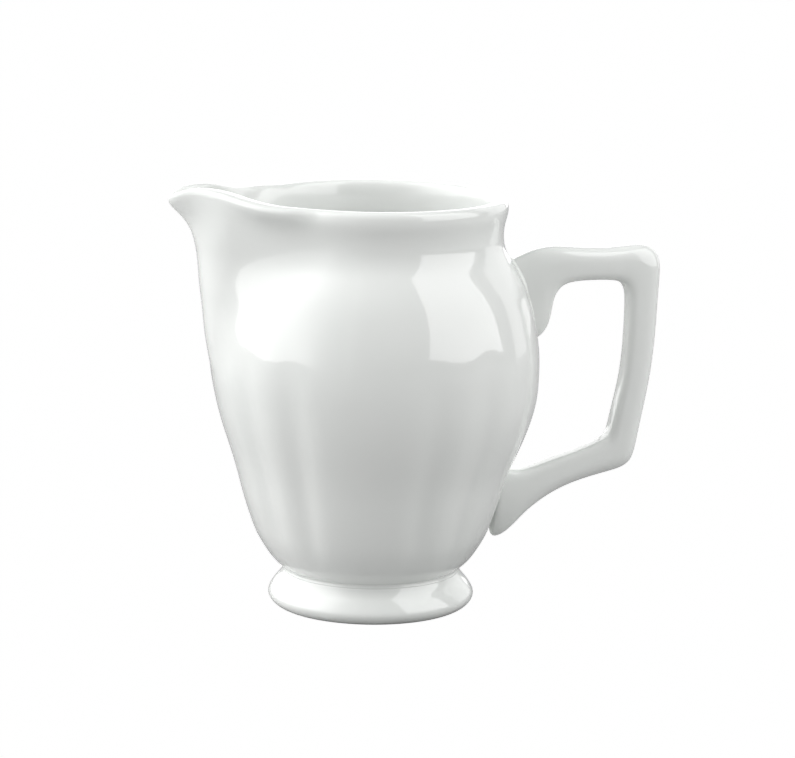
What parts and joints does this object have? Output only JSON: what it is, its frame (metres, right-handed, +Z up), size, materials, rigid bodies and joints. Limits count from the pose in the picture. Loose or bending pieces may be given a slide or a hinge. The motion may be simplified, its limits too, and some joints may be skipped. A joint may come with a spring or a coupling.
{
  "type": "porcelain cream jug",
  "caption": "Small lobed porcelain pouring jug with a pointed spout, an angular handle and a low foot ring.",
  "frame": {"origin": "middle of the standing ring, on the surface that the jug stands on", "axes": "+Z up, the spout points along -X and the handle along +X, +Y across"},
  "size_m": [0.1225, 0.0796, 0.103],
  "materials": {
    "glazed_porcelain": "glossy clear glaze over white porcelain",
    "foot_porcelain": "glossy clear glaze, bare and ground where it stands",
    "luting_slip": "fired slip under the same glaze"
  },
  "bodies": {
    "root": {"body": "glazed_porcelain", "handle": "glazed_porcelain", "foot": "foot_porcelain", "foot_slip": "luting_slip", "upper_handle_slip": "luting_slip", "lower_handle_slip": "luting_slip"}
  },
  "joints": []
}
